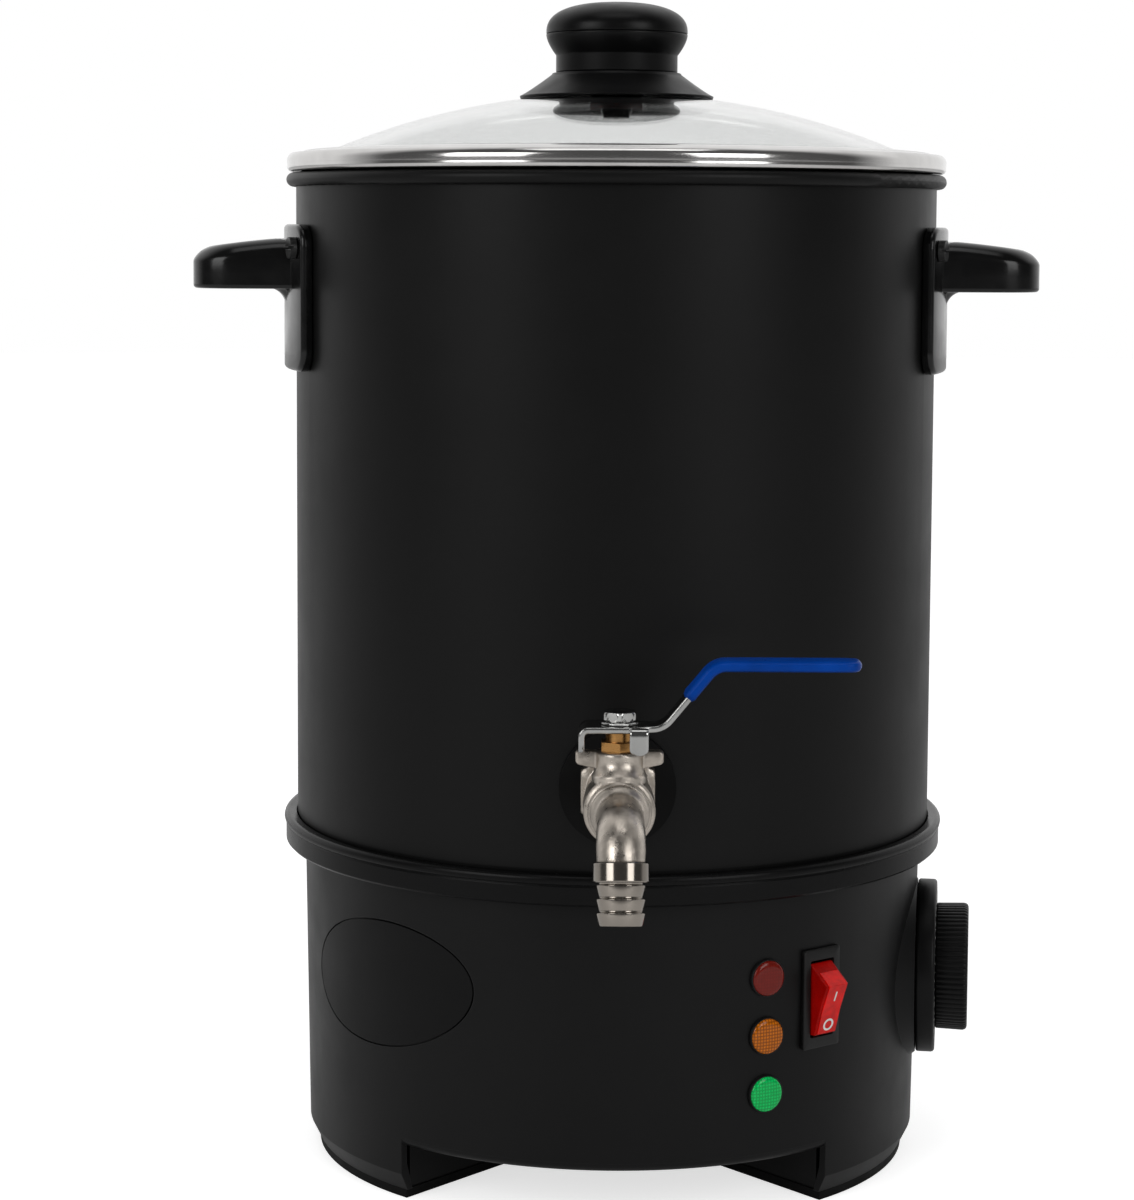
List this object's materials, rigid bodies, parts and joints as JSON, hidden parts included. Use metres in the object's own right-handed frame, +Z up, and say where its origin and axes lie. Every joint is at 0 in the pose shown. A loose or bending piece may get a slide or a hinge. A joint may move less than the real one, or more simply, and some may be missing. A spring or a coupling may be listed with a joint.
{
  "type": "electric wax melter",
  "caption": "Upright electric pot that melts candle wax on a heated base and pours it through a lever ball valve.",
  "frame": {"origin": "on the supporting surface, straight below the centre of the round pot", "axes": "+Z is up, -Y is the front where the spout points, +X is the side with the thermostat dial"},
  "size_m": [0.2866, 0.3054, 0.3953],
  "materials": {
    "pot_coat": "satin black non-stick coating",
    "zinc_steel": "zinc-plated steel fixings",
    "handle_plastic": "glossy black phenolic",
    "glass": "clear tempered glass",
    "lid_steel": "polished stainless band",
    "knob_plastic": "satin black phenolic",
    "cast_nickel": "nickel-plated brass casting, slightly rough",
    "turned_nickel": "nickel-plated brass, turned",
    "bright_steel": "polished",
    "ptfe": "white sealing plastic",
    "brass": "bare brass",
    "sleeve_vinyl": "dipped blue vinyl",
    "black_rubber": "black rubber",
    "silicone": "red silicone",
    "base_plastic": "satin black heat-resistant plastic",
    "dial_plastic": "satin black",
    "copper": "copper tube",
    "switch_plastic": "black",
    "rocker_red": "translucent red",
    "lens_red": "red lens, unlit",
    "lens_amber": "amber lens",
    "lens_green": "green lens",
    "white_plastic": "white",
    "cast_alu": "cast",
    "sheath_steel": "dull heater sheath",
    "galv_steel": "pressed sheet",
    "ceramic": "steatite"
  },
  "bodies": {
    "melter": {"pot_shell": "pot_coat", "pot_studs": "zinc_steel", "stud_nuts": "zinc_steel", "handle_left": "handle_plastic", "handle_right": "handle_plastic", "handle_screws": "zinc_steel", "handle_nuts": "bright_steel", "valve_body": "cast_nickel", "valve_spout": "cast_nickel", "hose_tail": "turned_nickel", "valve_seats": "ptfe", "stem_packing": "ptfe", "gland_nut": "brass", "outer_gasket": "black_rubber", "inner_gasket": "silicone", "valve_locknut": "bright_steel", "base_collar": "base_plastic", "base_shell": "base_plastic", "base_tray": "base_plastic", "tray_screws": "zinc_steel", "foot_pads": "black_rubber", "badge_plate": "base_plastic", "cord_gland": "switch_plastic", "cord_gland_nut": "switch_plastic", "thermostat_body": "galv_steel", "thermostat_screws": "zinc_steel", "sensor_bulb": "copper", "capillary": "copper", "switch_body": "switch_plastic", "switch_terminals": "zinc_steel", "lamp_red": "lens_red", "lamp_amber": "lens_amber", "lamp_green": "lens_green", "lamp_bodies": "white_plastic", "lamp_nuts": "white_plastic", "heater_plate": "cast_alu", "heater_coil": "sheath_steel", "heater_clamp": "galv_steel", "clamp_nut": "zinc_steel", "thermal_cutout": "cast_alu", "support_ring": "galv_steel", "heat_shield": "galv_steel", "terminal_block": "ceramic"},
    "lid": {"lid_glass": "glass", "lid_band": "lid_steel", "vent_eyelet": "lid_steel", "knob_skirt": "knob_plastic", "knob_body": "knob_plastic", "knob_cap": "knob_plastic", "knob_screw": "bright_steel", "knob_washer": "silicone"},
    "lever": {"valve_ball": "bright_steel", "valve_stem": "brass", "lever_handle": "zinc_steel", "lever_sleeve": "sleeve_vinyl", "lever_nut": "zinc_steel"},
    "dial": {"dial_disc": "dial_plastic", "dial_grip": "dial_plastic", "dial_shaft": "brass"},
    "rocker": {"switch_rocker": "rocker_red"}
  },
  "joints": [
    {"name": "lid_lift", "type": "slide", "parent": "melter", "child": "lid", "axis": [0, 0, 1], "range_m": [0, 0.12]},
    {"name": "valve_turn", "type": "hinge", "parent": "melter", "child": "lever", "pos_m": [0, -0.143, 0.167], "axis": [0, 0, 1], "range_deg": [-90, 0]},
    {"name": "dial_turn", "type": "hinge", "parent": "melter", "child": "dial", "pos_m": [0.10893, -0.01531, 0.0634], "axis": [0.9903, -0.1392, 0], "range_deg": [-270, 0]},
    {"name": "switch_rock", "type": "hinge", "parent": "melter", "child": "rocker", "pos_m": [0.06399, -0.08073, 0.0701], "axis": [0.7837, 0.6211, 0], "range_deg": [-36, 0]}
  ]
}
